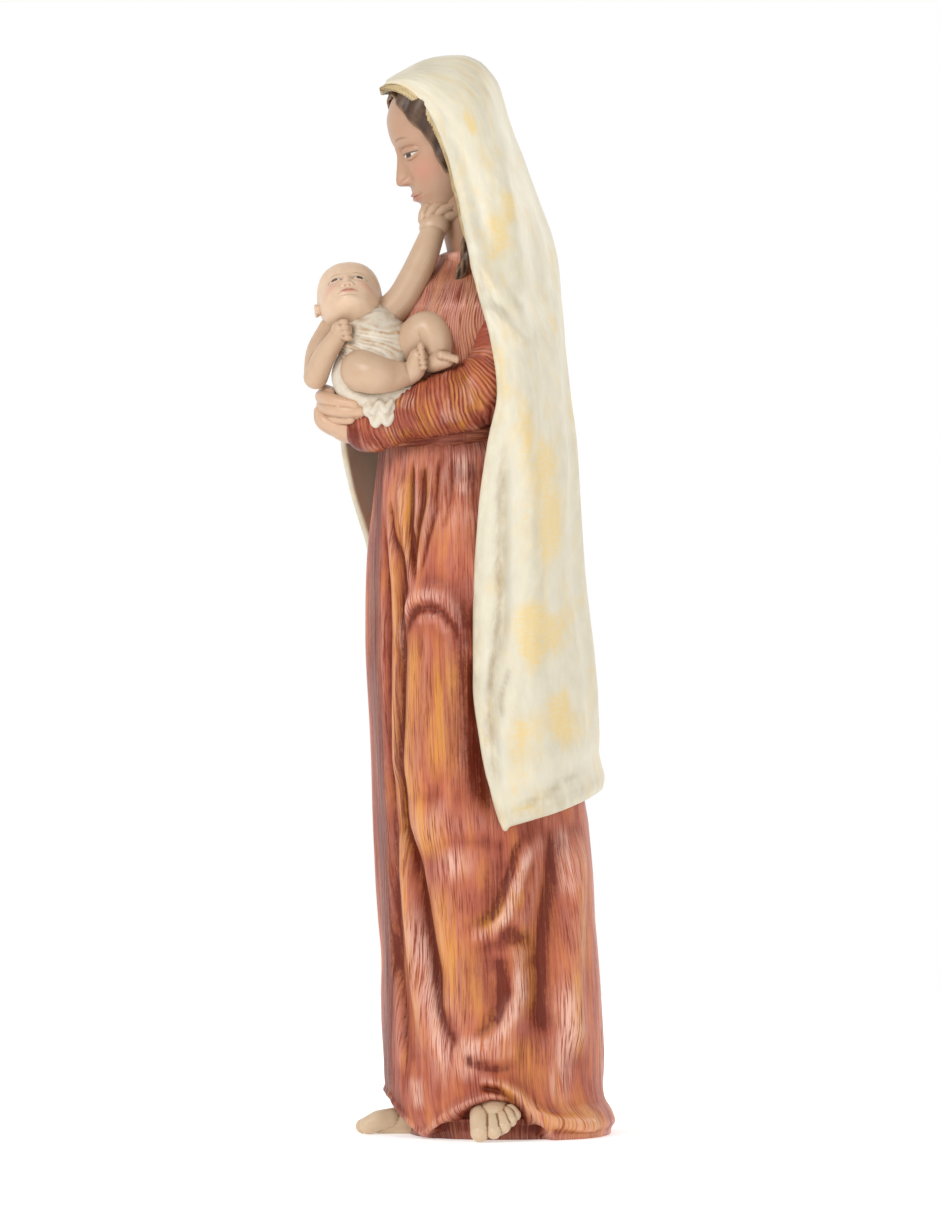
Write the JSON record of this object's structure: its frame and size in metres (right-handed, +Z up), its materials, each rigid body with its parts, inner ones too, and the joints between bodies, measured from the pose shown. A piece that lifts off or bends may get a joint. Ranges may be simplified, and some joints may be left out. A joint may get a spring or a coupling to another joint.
{
  "type": "religious statue",
  "caption": "Standing painted statue of a veiled mother in a long draped dress and mantle, holding an infant who reaches up to her chin.",
  "frame": {"origin": "on the ground plane at the middle of the statue's flat underside", "axes": "+Z up, the mother's face looks along -Y, her left side is towards +X"},
  "size_m": [0.1546, 0.172, 0.5998],
  "materials": {
    "dress_paint": "satin coral red paint over cast resin, dark wash in the folds and ochre dry brushing on the ridges",
    "mantle_paint": "satin cream paint over cast resin with golden dry brushing",
    "skin_paint": "smooth satin skin-tone paint over cast resin",
    "hair_paint": "dark brown paint over carved cast resin",
    "cloth_paint": "off-white paint over cast resin with ochre in the creases"
  },
  "bodies": {
    "root": {"madonna_and_child": "dress_paint"}
  },
  "joints": []
}
